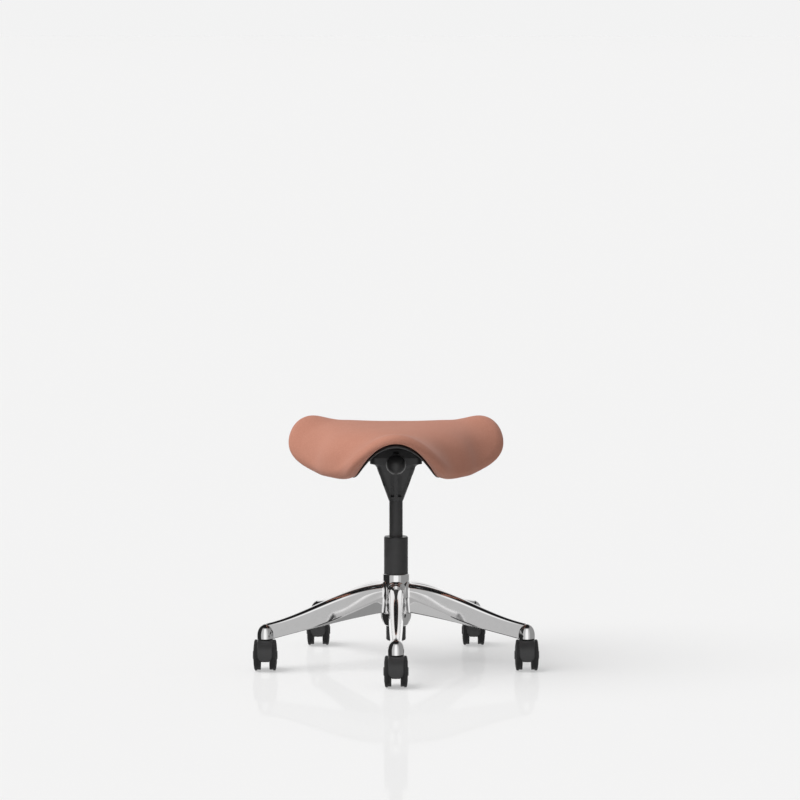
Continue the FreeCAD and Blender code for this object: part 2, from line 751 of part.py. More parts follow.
class SeatSlice:
    """The seat's profile in the half plane at one turn from the nose.

    Lobe is 1 along each of the three lobes and 0 midway between them, where
    the sides droop. Rearward is 0 at the nose and 1 at the two rear lobes,
    and the droop opposite the nose hangs less than the side ones.
    """

    def __init__(self, turn):
        self.turn = turn
        lobe = (1 + math.cos(3 * turn)) / 2
        rearward = (1 - math.cos(turn)) / 1.5
        droop = max(0.0, 3 * rearward - 3) * (1 - lobe)
        rise = float(s.rear_flap_rise) * droop
        swell = 1 - (1 - lobe ** float(s.lobe_width)) ** float(s.lobe_bluntness)
        lobe_rounding = mixed(s.nose_edge_rounding, s.rear_edge_rounding, rearward)
        rim_radius = mixed(s.rim_nose_radius, s.rim_rear_radius, rearward)
        rim_drop = mixed(s.rim_nose_drop, s.rim_rear_drop, rearward)
        self.lobe = lobe
        self.roll = mixed(s.flap_edge_rounding, lobe_rounding, lobe ** 3)
        self.radius = mixed(s.seat_flap_radius, s.seat_nose_radius, swell)
        self.height = mixed(-s.flap_drop, s.nose_rise, lobe ** float(s.ridge_sharpness))
        self.height += seat_level + rise
        self.rim_radius = mixed(s.rim_flap_radius, rim_radius, lobe ** float(s.rim_sharpness))
        self.rim_height = -mixed(s.rim_flap_drop, rim_drop, lobe ** float(s.arch_sharpness))
        self.rim_height += seat_level + rise
        lean = math.radians(90) * (1 - lobe ** float(s.lean_sharpness))
        self.out = math.cos(lean)
        self.down = math.sin(lean)

    def top(self, share):
        """From the flat middle out to where the edge starts to round."""
        level = seat_level
        end = (self.radius - self.roll * self.out, self.height + self.roll * self.down)
        steep = min(max((self.down - 0.15) / 0.35, 0.0), 1.0)
        steep *= steep * (3 - 2 * steep)
        climb = (level + float(s.crown_rise) - end[1]) / max(self.down, 0.05)
        climb = min(max(climb, float(s.least_crown_reach)), float(s.most_crown_reach))
        reach = (1 - steep) * float(s.lobe_crown_reach) + steep * climb
        return curve_point((
            (float(s.seat_flat_radius), level),
            (0.5 * self.radius, level - 1),
            (end[0] - reach * self.out, end[1] + reach * self.down),
            end,
        ), share)

    def edge(self, share):
        """Round the edge, then along its face to the rim."""
        start = (self.radius - self.roll * self.out, self.height + self.roll * self.down)
        end = (self.radius - self.roll * self.down, self.height - self.roll * self.out)
        soft = 0.45 * self.roll
        if share <= 0.5:
            return curve_point((
                start,
                (self.radius - soft * self.out, self.height + soft * self.down),
                (self.radius - soft * self.down, self.height - soft * self.out),
                end,
            ), 2 * share)
        rim = (self.rim_radius, self.rim_height)
        far = math.hypot(rim[0] - end[0], rim[1] - end[1])
        return curve_point((
            end,
            (end[0] - self.down * far * 0.35, end[1] - self.out * far * 0.35),
            (0.6 * rim[0] + 0.4 * end[0] - self.down * far * 0.1,
             0.6 * rim[1] + 0.4 * end[1] - self.out * far * 0.1),
            rim,
        ), 2 * share - 1)

    def under(self, share, drop, rim_in, rim_down):
        """The inner surface from the rim back to the flat middle."""
        level = seat_level - drop
        rim = (self.rim_radius - rim_in, self.rim_height - rim_down)
        reach = 0.35 * self.rim_radius
        return curve_point((
            rim,
            (rim[0] - reach * self.out, rim[1] + 0.8 * reach * self.down),
            (0.5 * self.rim_radius, level),
            (float(s.seat_flat_radius), level),
        ), share)

    def place(self, point):
        """A profile point as a point in space."""
        radius, height = point
        return FreeCAD.Vector(radius * math.sin(self.turn), -radius * math.cos(self.turn), height)


def ring_solid(profile):
    """A closed solid whose skin runs through the rings of a profile.

    Profile gives the points of one slice; the first and the last ring are
    level circles that are closed by flat faces.
    """
    slices = [SeatSlice(2 * math.pi * step / SLICES) for step in range(SLICES)]
    columns = [[one.place(point) for point in profile(one)] for one in slices]
    rows = [list(row) for row in zip(*columns)]
    spans = len(rows) - 3
    ends = [4] + [1] * (spans - 1) + [4]
    skin = Part.BSplineSurface()
    skin.buildFromPolesMultsKnots(
        rows, ends, [1] * (SLICES + 1),
        [float(knot) for knot in range(spans + 1)],
        [float(knot) for knot in range(SLICES + 1)],
        False, True, 3, 3)
    face = skin.toShape()
    lids = []
    for edge in face.Edges:
        if edge.isClosed() and edge.BoundBox.ZLength < 1e-6:
            lids.append(Part.Face(Part.Wire(edge)).copy())
    return Part.Solid(Part.Shell([face] + lids))


def shares(count):
    """Even steps from 0 up to 1."""
    return [step / count for step in range(count + 1)]


def cushion_profile(one):
    """The cushion's skin in one slice."""
    points = [one.top(share) for share in shares(9)]
    points += [one.edge(share) for share in shares(10)[1:]]
    points += [one.under(share, float(s.cushion_thickness), 0, 0) for share in shares(8)[1:]]
    return points


def pan_profile(one):
    """The pan's skin in one slice: a thin shell whose edge shows under the rim."""
    gap = float(s.pan_gap)
    drop = float(s.cushion_thickness) + gap
    thick = float(s.pan_thickness)
    edge_in = thick * (1 - one.lobe)
    edge_down = 1 + (float(s.pan_edge_at_nose) - 1) * one.lobe
    top = [one.under(share, drop, gap * one.down, gap * one.out) for share in shares(8)]
    top.reverse()
    bottom = [one.under(share, drop + thick, edge_in, edge_down) for share in shares(8)]
    return top + bottom


def make_seat():
    """The cushion and the pan that carries it."""
    finish(feature("cushion", ring_solid(cushion_profile)), "seat_cushion")
    shell = feature("pan_shell", ring_solid(pan_profile))
    pad_top = s.support_top_height + s.pan_rise - s.pan_thickness / 2
    pad = cylinder("pan_pad", s.pan_pad_radius, s.support_top_height, pad_top)
    screw_tip = s.support_top_height + s.pan_rise - s.screw_tip_depth
    holes = []
    for index, (x, y) in enumerate(screw_places()):
        holes.append(cylinder("pan_hole_%d" % (index + 1), s.screw_radius + s.seated_gap,
                              s.support_top_height - 1,
                              screw_tip + 0.5, x, y))
    finish(cut("pan_cut", fuse("pan_blank", [shell, pad]), holes), "seat_pan")


def make_caster(index):
    """One caster: stem, hood, axle and two wheels."""
    x, y = caster_place(index)
    prefix = "caster_%d_" % (index + 1)
    axle_y = y - s.caster_trail
    level = s.wheel_radius
    stem = turned(prefix + "pin", (
        (0, s.stem_bottom_height),
        (s.stem_radius, s.stem_bottom_height),
        (s.stem_radius, s.socket_bottom_height - s.stem_collar_height),
        (s.stem_collar_radius, s.socket_bottom_height - s.stem_collar_height),
        (s.stem_collar_radius, s.socket_bottom_height),
        (s.stem_radius, s.socket_bottom_height),
        (s.stem_radius, s.stem_top_height),
        (0, s.stem_top_height),
    ))
    finish(locate(stem, x, y, 0), prefix + "stem")
    inner_tread = s.wheel_radius - s.wheel_step
    skin_inside = inner_tread + s.moving_gap
    skin_outside = skin_inside + s.hood_skin
    web_half = s.wheel_gap / 2 - s.moving_gap
    side = s.hood_half_width
    skin = cut(prefix + "skin",
               cross_cylinder(prefix + "skin_outside", skin_outside, side, axle_y, level, x),
               [cross_cylinder(prefix + "skin_inside", skin_inside, side + 1, axle_y, level, x)])
    web = cross_cylinder(prefix + "web", skin_inside + 0.5, web_half, axle_y, level, x)
    low = s.hood_bottom_height
    round_z = low + s.hood_corner_radius
    round_x = side - s.hood_corner_radius
    shield = [
        box(prefix + "shield", (x - side, axle_y - 40, round_z), (x + side, axle_y + 40, 80)),
        box(prefix + "shield_foot", (x - round_x, axle_y - 40, low), (x + round_x, axle_y + 40, 80)),
    ]
    for hand, word in ((-1, "left"), (1, "right")):
        corner = doc.addObject("Part::Cylinder", prefix + word + "_corner")
        bind(corner, "Radius", s.hood_corner_radius)
        corner.Height = 80
        corner.Placement.Rotation = FreeCAD.Rotation(FreeCAD.Vector(1, 0, 0), 90)
        shield.append(locate(corner, x + hand * round_x, axle_y + 40, round_z))
    trimmed = doc.addObject("Part::MultiCommon", prefix + "hood_blank")
    trimmed.Shapes = [fuse(prefix + "hood_body", [skin, web]), fuse(prefix + "outline", shield)]
    stem_hole = cylinder(prefix + "stem_hole", s.stem_radius + s.running_gap,
                         s.stem_bottom_height - s.moving_gap, 80, x, y)
    collar_way = cylinder(prefix + "collar_way", s.stem_collar_radius + s.moving_gap,
                          s.socket_bottom_height - s.stem_collar_height - s.moving_gap, 80, x, y)
    axle_hole = cross_cylinder(prefix + "axle_hole", s.axle_radius + s.seated_gap,
                               web_half + 1, axle_y, level, x)
    finish(cut(prefix + "hood_cut", trimmed, [stem_hole, collar_way, axle_hole]), prefix + "hood")
    cap_inside = s.wheel_outer_half_width + s.wheel_cap_height - s.wheel_cap_wall
    finish(cross_cylinder(prefix + "shaft", s.axle_radius, cap_inside - 0.5, axle_y, level, x),
           prefix + "axle")
    hole = s.axle_radius + s.running_gap
    step_place = s.hood_half_width + s.moving_gap
    cap_face = s.wheel_outer_half_width + s.wheel_cap_height
    for hand, word in ((0, "right"), (180, "left")):
        wheel = turned(prefix + word + "_tyre", (
            (s.wheel_gap / 2, hole),
            (s.wheel_gap / 2, inner_tread),
            (step_place, inner_tread),
            (step_place, s.wheel_radius),
            (s.wheel_tread_half_width, s.wheel_radius),
            (s.wheel_tread_half_width + 1.5, s.wheel_radius - 2.5),
            (s.wheel_outer_half_width - 0.6, s.wheel_face_radius + 2),
            (s.wheel_outer_half_width, s.wheel_face_radius - 3),
            (s.wheel_outer_half_width, s.wheel_cap_radius + 1.5),
            (cap_face, s.wheel_cap_radius),
            (cap_face, 0),
            (cap_inside, 0),
            (cap_inside, hole),
        ), about="H_Axis")
        wheel.Placement.Rotation = FreeCAD.Rotation(FreeCAD.Vector(0, 0, 1), hand)
        finish(locate(wheel, x, axle_y, level), prefix + "wheel_" + word)


finished = []
s = fill_sheet()
SLICES = 96
caster_count = int(float(s.caster_count))
arm_start = 18.0
arm_end = float(s.caster_circle_radius) - 2
lean = math.radians(float(s.lever_tilt_degrees))
seat_level = float(s.support_top_height + s.pan_rise + s.pan_gap + s.cushion_thickness)
button_top = (s.pivot_height - (s.pivot_offset + s.button_radius) * math.tan(lean)
              - s.lever_thickness / 2 / math.cos(lean) - s.lever_touch_gap)

make_star_base()
make_gas_lift()
make_support()
make_lever()
make_seat()
for caster in range(caster_count):
    make_caster(caster)
doc.recompute()

for thing in doc.Objects:
    if "Invalid" in thing.State or "Error" in thing.State:
        raise RuntimeError("%s did not build: %s" % (thing.Name, thing.State))
for thing in finished:
    if thing.Shape.isNull() or not thing.Shape.isValid():
        raise RuntimeError("%s has no valid shape" % thing.Label)
    if len(thing.Shape.Solids) != 1:
        raise RuntimeError("%s has %d solids" % (thing.Label, len(thing.Shape.Solids)))

os.makedirs("parts", exist_ok=True)
for thing in finished:
    thing.Shape.exportStep("parts/%s.step" % thing.Label)
print("%d sub-parts" % len(finished))
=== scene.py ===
import json
import math

import bmesh
import bpy
import numpy as np
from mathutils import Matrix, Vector


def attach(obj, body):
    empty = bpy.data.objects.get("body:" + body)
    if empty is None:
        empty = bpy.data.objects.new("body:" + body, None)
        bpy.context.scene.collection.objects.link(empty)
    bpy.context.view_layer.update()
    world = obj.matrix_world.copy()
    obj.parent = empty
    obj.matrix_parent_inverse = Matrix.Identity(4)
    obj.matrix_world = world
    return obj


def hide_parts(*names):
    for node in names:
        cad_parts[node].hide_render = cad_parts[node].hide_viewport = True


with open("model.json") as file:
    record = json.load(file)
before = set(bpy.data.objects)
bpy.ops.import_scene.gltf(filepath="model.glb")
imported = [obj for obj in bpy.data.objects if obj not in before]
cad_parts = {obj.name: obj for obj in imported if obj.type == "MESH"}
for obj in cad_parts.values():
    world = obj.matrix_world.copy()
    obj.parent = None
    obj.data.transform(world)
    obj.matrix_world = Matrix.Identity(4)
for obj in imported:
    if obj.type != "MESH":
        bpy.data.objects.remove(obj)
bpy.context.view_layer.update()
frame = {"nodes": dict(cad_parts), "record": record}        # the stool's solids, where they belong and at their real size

nodes = frame["nodes"]
bodyOf = {name: body for body, names in frame["record"]["behaviour"]["bodies"].items() for name in names}


# surfaces


def gridMesh(name, rows, capFirst=False, capLast=False):
    # a skin over a table of points: rows run along it and columns run round it,
    # neighbouring points share four-sided faces, and a cap is a fan to the row's middle
    count, around = rows.shape[:2]
    points = rows.reshape(-1, 3)
    index = np.arange(count * around).reshape(count, around)
    index = np.hstack([index, index[:, :1]])
    quads = np.stack([index[:-1, :-1], index[1:, :-1], index[1:, 1:], index[:-1, 1:]], -1).reshape(-1, 4)
    fans = []
    for wanted, row, flip in ((capFirst, 0, False), (capLast, count - 1, True)):
        if wanted:
            middle = len(points)
            points = np.vstack([points, rows[row].mean(0)])
            ring = index[row]
            fan = np.stack([ring[:-1], ring[1:], np.full(len(ring) - 1, middle)], -1)
            fans.append(fan[:, ::-1] if flip else fan)
    mesh = bpy.data.meshes.new(name)
    mesh.from_pydata(points.tolist(), [], quads.tolist() + [face for fan in fans for face in fan.tolist()])
    mesh.polygons.foreach_set("use_smooth", [True] * len(mesh.polygons))
    mesh.update()
    piece = bpy.data.objects.new(name, mesh)
    bpy.context.scene.collection.objects.link(piece)
    return piece


def lathe(profile, around=96, centre=(0.0, 0.0)):
    # a (radius, height) profile turned about a vertical line: x and y are the radius
    # times cosine and sine of the turn, z is the height
    turn = np.linspace(0, 2 * math.pi, around, endpoint=False)
    radius, height = np.asarray(profile, float).T
    return np.stack([
        centre[0] + radius[:, None] * np.cos(turn),
        centre[1] + radius[:, None] * np.sin(turn),
        height[:, None] + 0 * turn,
    ], -1)


def outwards(piece):
    # turns every face to the outside
    shape = bmesh.new()
    shape.from_mesh(piece.data)
    bmesh.ops.recalc_face_normals(shape, faces=shape.faces)
    shape.to_mesh(piece.data)
    shape.free()


def cubic(a, b, c, d, share):
    # four corners weighted by the cubic curve's shares
    rest = 1 - share
    return rest ** 3 * a + 3 * rest ** 2 * share * b + 3 * rest * share ** 2 * c + share ** 3 * d


def mixed(low, high, share):
    return low + (high - low) * share


def smoothStep(value):
    value = np.clip(value, 0, 1)
    return value * value * (3 - 2 * value)


# shader maths


class Value:
    # a socket that can be used in plain arithmetic; each step adds one Math node
    def __init__(self, tree, socket):
        self.tree = tree
        self.socket = socket

    def maths(self, operation, first, second):
        return addNode(self.tree, "ShaderNodeMath", {"operation": operation}, {0: first, 1: second})

    def __add__(self, other):
        return self.maths("ADD", self, other)

    def __rsub__(self, other):
        return self.maths("SUBTRACT", other, self)

    def __mul__(self, other):
        return self.maths("MULTIPLY", self, other)

    def __rmul__(self, other):
        return self.maths("MULTIPLY", other, self)


def addNode(tree, kind, settings=None, inputs=None, output=0):
    # makes one node: settings first, then the values or links of its sockets
    node = tree.nodes.new(kind)
    for name, value in (settings or {}).items():
        setattr(node, name, value)
    for name, value in (inputs or {}).items():
        socket = node.inputs[name]
        if isinstance(value, Value):
            tree.links.new(value.socket, socket)
        else:
            socket.default_value = value
    return Value(tree, node.outputs[output])


def smoothRange(value, low, high, outLow=0.0, outHigh=1.0):
    return addNode(value.tree, "ShaderNodeMapRange", {"interpolation_type": "SMOOTHSTEP"},
                   {"Value": value, "From Min": low, "From Max": high, "To Min": outLow, "To Max": outHigh})


def mixColour(tree, share, low, high):
    def full(colour):
        return colour if isinstance(colour, Value) else (*colour, 1)
    return addNode(tree, "ShaderNodeMix", {"data_type": "RGBA"}, {0: share, 6: full(low), 7: full(high)}, 2)


def newMaterial(name, constants):
    # a Principled material with its constant sockets set; returns it with its tree and shader
    material = bpy.data.materials.new(name)
    material.use_nodes = True
    tree = material.node_tree
    shader = tree.nodes["Principled BSDF"]
    for socket, value in constants.items():
        shader.inputs[socket].default_value = value
    return material, tree, shader


def objectPlace(tree):
    return addNode(tree, "ShaderNodeTexCoord", output=3)


def noise(tree, place, scale, detail=3.0, roughness=0.5):
    return addNode(tree, "ShaderNodeTexNoise", {},
                   {"Vector": place, "Scale": scale, "Detail": detail, "Roughness": roughness})


def bump(tree, height, strength, distance):
    return addNode(tree, "ShaderNodeBump", {}, {"Height": height, "Strength": strength, "Distance": distance})


def feed(tree, shader, **links):
    for name, value in links.items():
        tree.links.new(value.socket, shader.inputs[name.replace("_", " ")])


# materials


def woolFelt():
    # dyed wool: a heathered colour, tiny tufts and a soft fuzz that pales at the edges
    look = {
        "deep": (0.43, 0.172, 0.118),
        "mid": (0.57, 0.25, 0.172),
        "pale": (0.66, 0.345, 0.26),
    }
    material, tree, shader = newMaterial("woolFelt", {
        "Roughness": 0.88, "Sheen Weight": 0.15, "Sheen Roughness": 0.4,
        "Sheen Tint": (0.96, 0.9, 0.9, 1), "Specular IOR Level": 0.25,
    })
    place = objectPlace(tree)
    heather = noise(tree, place, 520, 4, 0.68)
    flecks = noise(tree, place, 1450, 2, 0.6)
    drift = noise(tree, place, 9, 2, 0.5)
    tuft = noise(tree, place, 900, 3, 0.6)
    blend = smoothRange(heather * 0.62 + flecks * 0.38, 0.38, 0.64)
    colour = mixColour(tree, blend, look["deep"], look["pale"])
    colour = mixColour(tree, 0.55, colour, look["mid"])
    colour = mixColour(tree, smoothRange(drift, 0.35, 0.7, 0.0, 0.16), colour, look["pale"])
    feed(tree, shader, Base_Color=colour, Normal=bump(tree, tuft + flecks * 0.5, 0.28, 0.0006),
         Roughness=smoothRange(tuft, 0.3, 0.7, 0.8, 0.95))
    return material


def polishedAluminium():
    # bright polished casting with faint waviness and the least hint of handling
    material, tree, shader = newMaterial("polishedAluminium", {"Metallic": 1.0})
    place = objectPlace(tree)
    wave = noise(tree, place, 22, 2, 0.4)
    smear = noise(tree, place, 75, 4, 0.6)
    colour = mixColour(tree, smoothRange(smear, 0.35, 0.75), (0.86, 0.855, 0.855), (0.835, 0.83, 0.83))
    feed(tree, shader, Base_Color=colour, Roughness=smoothRange(smear, 0.35, 0.8, 0.05, 0.08),
         Normal=bump(tree, wave, 0.02, 0.001))
    return material


def powderCoat(name, tone, rough, grain=2600):
    # charcoal finish with a fine orange-peel grain
    material, tree, shader = newMaterial(name, {"Specular IOR Level": 0.42})
    place = objectPlace(tree)
    peel = noise(tree, place, grain, 2, 0.5)
    cloud = noise(tree, place, 30, 3, 0.55)
    low = tuple(0.82 * part for part in tone)
    colour = mixColour(tree, smoothRange(cloud, 0.3, 0.7), low, tone)
    feed(tree, shader, Base_Color=colour, Normal=bump(tree, peel, 0.22, 0.0003),
         Roughness=smoothRange(cloud, 0.3, 0.7, rough - 0.05, rough + 0.05))
    return material


def treadRubber():
    # soft tyre: dull, with fine rings of wear
    material, tree, shader = newMaterial("treadRubber", {"Specular IOR Level": 0.3})
    place = objectPlace(tree)
    dust = noise(tree, place, 160, 4, 0.65)
    pits = noise(tree, place, 1800, 2, 0.5)
    colour = mixColour(tree, smoothRange(dust, 0.45, 0.8), (0.026, 0.026, 0.027), (0.04, 0.04, 0.04))
    feed(tree, shader, Base_Color=colour, Normal=bump(tree, pits, 0.25, 0.0003),
         Roughness=smoothRange(dust, 0.3, 0.8, 0.6, 0.78))
    return material


def brightSteel():
    # turned steel of the axles, pin and rod
    material, tree, shader = newMaterial("brightSteel", {"Metallic": 1.0})
    place = objectPlace(tree)
    turned = noise(tree, place, 420, 3, 0.6)
    colour = mixColour(tree, turned, (0.5, 0.5, 0.51), (0.62, 0.62, 0.63))
    feed(tree, shader, Base_Color=colour, Roughness=smoothRange(turned, 0.3, 0.7, 0.22, 0.34))
    return material


materials = {
    "wool": woolFelt(),
    "aluminium": polishedAluminium(),
    "coat": powderCoat("charcoalCoat", (0.063, 0.063, 0.064), 0.52),
    "casting": powderCoat("charcoalCasting", (0.055, 0.055, 0.056), 0.42, 1900),
    "plastic": powderCoat("darkPlastic", (0.046, 0.046, 0.047), 0.34, 3200),
    "shell": powderCoat("seatShell", (0.03, 0.03, 0.031), 0.5, 2200),
    "knob": powderCoat("knobPlastic", (0.042, 0.042, 0.042), 0.38, 3600),
    "rubber": treadRubber(),
    "steel": brightSteel(),
}
print("materials made:", len(materials))


# camera, lights and floor

camera = {
    "distance": 7.635,      # from the column's axis to the lens
    "height": 1.3253,
    "pitch": math.radians(5.7716),
    "focalPixels": 3682.3,
    "axisColumn": 396.0,    # the column's axis in the picture, in pixels
    "imageWidth": 800,
}
light = {
    "keyAngle": math.radians(55),
    "keyPower": 2.4,
    "keyFrom": (-0.58, -0.10, 0.81),
    "ambient": 0.318,
    "background": 0.892,
    "floorTone": 0.965,
    "bounceTone": 0.6,     # what the floor gives back to the stool
    "floorRings": (0.0005, 0.3, 0.8, 2.0, 6.0, 20.0, 80.0, 600.0),
    "floorDepth": 0.0002,   # the floor lies this far under the wheels
    "floorShine": 0.05,
    "floorGlow": 0.5,
    "floorGloss": 0.06,
}
studio = {                  # levels by the side they stand on; turns in radians to the right of ahead
    "aheadFrom": (-1.05, -0.9),
    "aheadTo": (0.68, 0.82),
    "centreHalf": (0.25, 0.45),
    "rightTo": (2.3, 2.7),
    "leftRear": (-2.5, -2.2),
    "ahead": 0.52,
    "centre": 0.5,
    "right": 0.28,
    "behind": 0.92,
    "least": 0.012,
    "wallsFade": (0.72, 0.9),
    "behindFades": (0.55, 0.85),
}


def makeCamera():
    # a long lens that looks a little down on the stool
    data = bpy.data.cameras.new("camera")
    data.sensor_width = 36
    data.lens = camera["focalPixels"] * data.sensor_width / camera["imageWidth"]
    data.shift_x = 0.5 - camera["axisColumn"] / camera["imageWidth"]
    data.clip_start = 0.1
    data.clip_end = 1500
    item = bpy.data.objects.new("camera", data)
    item.location = (0, -camera["distance"], camera["height"])
    item.rotation_euler = (math.pi / 2 - camera["pitch"], 0, 0)
    bpy.context.scene.collection.objects.link(item)
    bpy.context.scene.camera = item


def makeKeyLight():
    data = bpy.data.lights.new("keyLight", "SUN")
    data.energy = light["keyPower"]
    data.angle = light["keyAngle"]
    data.color = (1.0, 0.997, 0.993)
    item = bpy.data.objects.new("keyLight", data)
    item.rotation_mode = "QUATERNION"
    item.rotation_quaternion = (-Vector(light["keyFrom"])).to_track_quat("-Z", "Y")
    item.visible_glossy = False
    bpy.context.scene.collection.objects.link(item)


def makeWorld():
    # plain pale surroundings for the eye and for matt surfaces; gloss sees a studio:
    # pale ahead, a dark flag to the left, grey to the right and dark overhead
    world = bpy.data.worlds.new("studio")
    bpy.context.scene.world = world
    world.use_nodes = True
    tree = world.node_tree
    background = tree.nodes["Background"]
    direction = addNode(tree, "ShaderNodeTexCoord")
    split = addNode(tree, "ShaderNodeSeparateXYZ", {}, {0: direction}).socket.node
    across, along, up = (Value(tree, split.outputs[k]) for k in range(3))
    turn = addNode(tree, "ShaderNodeMath", {"operation": "ARCTAN2"}, {0: across, 1: -1 * along})
    k = studio
    ahead = smoothRange(turn, *k["aheadFrom"]) * (1 - smoothRange(turn, *k["aheadTo"]))
    right = smoothRange(turn, *k["aheadTo"]) * (1 - smoothRange(turn, *k["rightTo"]))
    behind = smoothRange(turn, *k["rightTo"]) + (1 - smoothRange(turn, *k["leftRear"]))
    near, far = k["centreHalf"]
    centre = smoothRange(turn, -far, -near) * (1 - smoothRange(turn, near, far))
    walls = ahead * k["ahead"] + centre * k["centre"] + right * k["right"] + k["least"]
    walls = walls * (1 - smoothRange(up, *k["wallsFade"]))
    glossy = walls + behind * (1 - smoothRange(up, *k["behindFades"])) * k["behind"] + k["least"]
    path = addNode(tree, "ShaderNodeLightPath").socket.node
    seen = Value(tree, path.outputs["Is Camera Ray"])
    gloss = Value(tree, path.outputs["Is Glossy Ray"])
    level = light["ambient"] * (1 - gloss) + glossy * gloss
    level = level * (1 - seen) + light["background"] * seen
    tree.links.new(level.socket, background.inputs["Color"])


def makeFloor():
    # a wide disc at the wheels' lowest level, part lit and part glowing, so that the
    # background stays plain while the shadows still fall on it
    radii = np.array(light["floorRings"])
    rings = np.stack([radii, 0 * radii - light["floorDepth"]], -1)
    floor = gridMesh("floor", lathe(rings, 64), capFirst=True)
    material = bpy.data.materials.new("paleFloor")
    material.use_nodes = True
    tree = material.node_tree
    tree.nodes.clear()
    tone = (light["background"],) * 3 + (1,)
    lit = addNode(tree, "ShaderNodeBsdfDiffuse", {}, {"Color": (light["floorTone"],) * 3 + (1,)})
    glow = addNode(tree, "ShaderNodeEmission", {}, {"Color": tone, "Strength": 1.0})
    mirror = addNode(tree, "ShaderNodeBsdfGlossy", {}, {"Color": (1, 1, 1, 1), "Roughness": light["floorShine"]})
    path = addNode(tree, "ShaderNodeLightPath").socket.node
    seen = Value(tree, path.outputs["Is Camera Ray"])
    dull = addNode(tree, "ShaderNodeBsdfDiffuse", {}, {"Color": (light["bounceTone"],) * 3 + (1,)})
    facing = addNode(tree, "ShaderNodeMixShader", {}, {0: seen, 1: dull, 2: lit})
    plain = addNode(tree, "ShaderNodeMixShader", {}, {0: seen * light["floorGlow"], 1: facing, 2: glow})
    glossy = addNode(tree, "ShaderNodeMixShader", {}, {0: seen * light["floorGloss"], 1: plain, 2: mirror})
    ending = tree.nodes.new("ShaderNodeOutputMaterial")
    tree.links.new(glossy.socket, ending.inputs["Surface"])
    floor.data.materials.append(material)
    floor.visible_glossy = False


makeCamera()
makeKeyLight()
makeWorld()
makeFloor()
bpy.context.scene.view_settings.view_transform = "Standard"
print("stage set")


# cushion

cushion = {
    "level": 0.503,         # top of the flat middle
    "flatRadius": 0.026,
    "noseRadius": 0.240,
    "flapRadius": 0.175,
    "noseRise": 0.005,
    "flapDrop": 0.101,
    "rearFlapRise": 0.010,
    "rearPlump": 0.006,     # how far the padding swells at the two rear lobes
    "noseRounding": 0.0184,
    "rearRounding": 0.0325,
    "flapRounding": 0.017,
    "rimNoseRadius": 0.239,
    "rimRearRadius": 0.226,
    "rimFlapRadius": 0.130,
    "rimNoseDrop": 0.015,
    "rimRearDrop": 0.032,
    "rimFlapDrop": 0.100,
    "thickness": 0.036,
    "lobeWidth": 2.4,
    "lobeBluntness": 3.8,
    "ridgeSharpness": 1.86,
    "rimSharpness": 1.8,
    "archSharpness": 2.9,
    "leanSharpness": 1.1,
    "crownRise": 0.004,
    "lobeReach": 0.060,     # the crown's run-in at a lobe, and its least and most elsewhere
    "leastReach": 0.034,
    "mostReach": 0.084,
    "around": 360,
    "plumpFrom": 0.6,       # where the rear lobes begin, and over what share they swell
    "steepFrom": 0.15,      # the lean's sine at which a side counts as steep, and its span
    "steepOver": 0.35,
    "middleDip": 0.001,
    "roundness": 0.45,      # the handles of the edge's quarter round, in roundings
    "facePull": 0.35,       # the face's first handle, in lengths of the face
    "bendShare": 0.6,       # where its second handle stands, and how far it is drawn in
    "bendPull": 0.1,
    "underPull": 0.35,      # the underside's first handle, in rim radii
    "underLift": 0.8,
    "middleShare": 0.45,    # the innermost ring, in flat radii
    "easeFrom": 0.25,       # shares of the crown over which its easing comes and goes
    "easeTo": 0.4,
    "reachEasing": 16,      # widths of the easing round the turn, in degrees
    "edgeEasing": 5,
    "crownEasing": 14,
}


def eased(values, degrees):
    # each value becomes the bell-weighted mean of its neighbours round the closed row
    width = cushion["around"] * degrees // 360
    steps = np.arange(-3 * width, 3 * width + 1)
    bell = np.exp(-0.5 * (steps / width) ** 2)
    return sum(weight * np.roll(values, step, 1) for step, weight in zip(steps, bell)) / bell.sum()


